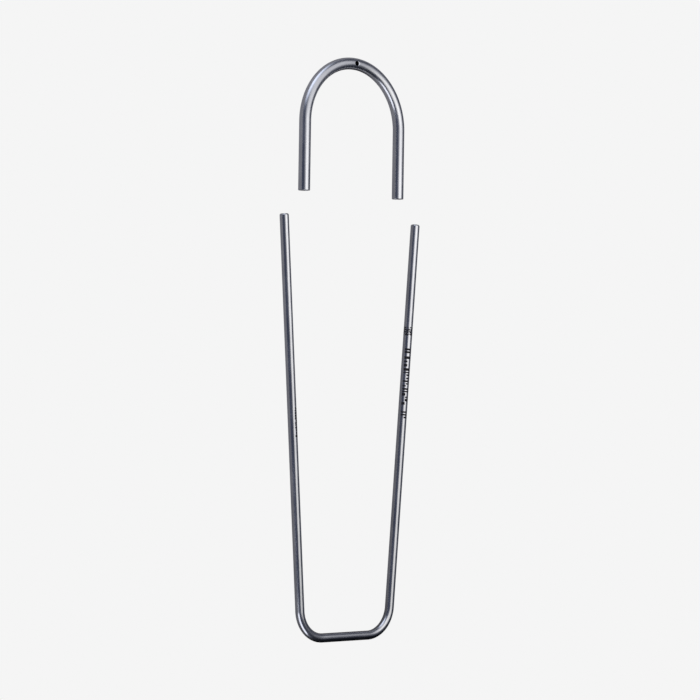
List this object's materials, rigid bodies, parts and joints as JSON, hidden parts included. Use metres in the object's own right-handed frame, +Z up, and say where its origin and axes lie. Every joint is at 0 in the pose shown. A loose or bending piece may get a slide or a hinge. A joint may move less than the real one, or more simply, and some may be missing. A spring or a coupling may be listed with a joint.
{
  "type": "instrument stringer",
  "caption": "Springy U-shaped steel rod frame with a separate arched tubular bow that slides over the rod tips, for threading ring-handled tools on a tray.",
  "frame": {"origin": "middle of the whole length and width, on the surface that the stringer lies on", "axes": "+Y from the bottom bar to the crown of the bow, +X to the right leg, +Z up, square to the plane of the frame and towards the vent hole"},
  "size_m": [0.081, 0.2556, 0.0052],
  "materials": {
    "rod_steel": "satin",
    "tube_steel": "satin"
  },
  "bodies": {
    "frame": {"base_bend": "rod_steel"},
    "left_leg": {"left_leg": "rod_steel"},
    "right_leg": {"right_leg": "rod_steel"},
    "closing_bow": {"closing_bow": "tube_steel"}
  },
  "joints": [
    {"name": "left_leg_flex", "type": "hinge", "parent": "frame", "child": "left_leg", "pos_m": [-0.02617, -0.11375, 0.0026], "axis": [0, 0, -1], "range_deg": [0, 3.66], "stiffness_Nm_per_rad": 40},
    {"name": "right_leg_flex", "type": "hinge", "parent": "frame", "child": "right_leg", "pos_m": [0.02617, -0.11375, 0.0026], "axis": [0, 0, 1], "range_deg": [0, 3.66], "stiffness_Nm_per_rad": 40},
    {"name": "bow_slide", "type": "slide", "parent": "frame", "child": "closing_bow", "axis": [0, -1, 0], "range_m": [-0.02, 0.0367]}
  ]
}
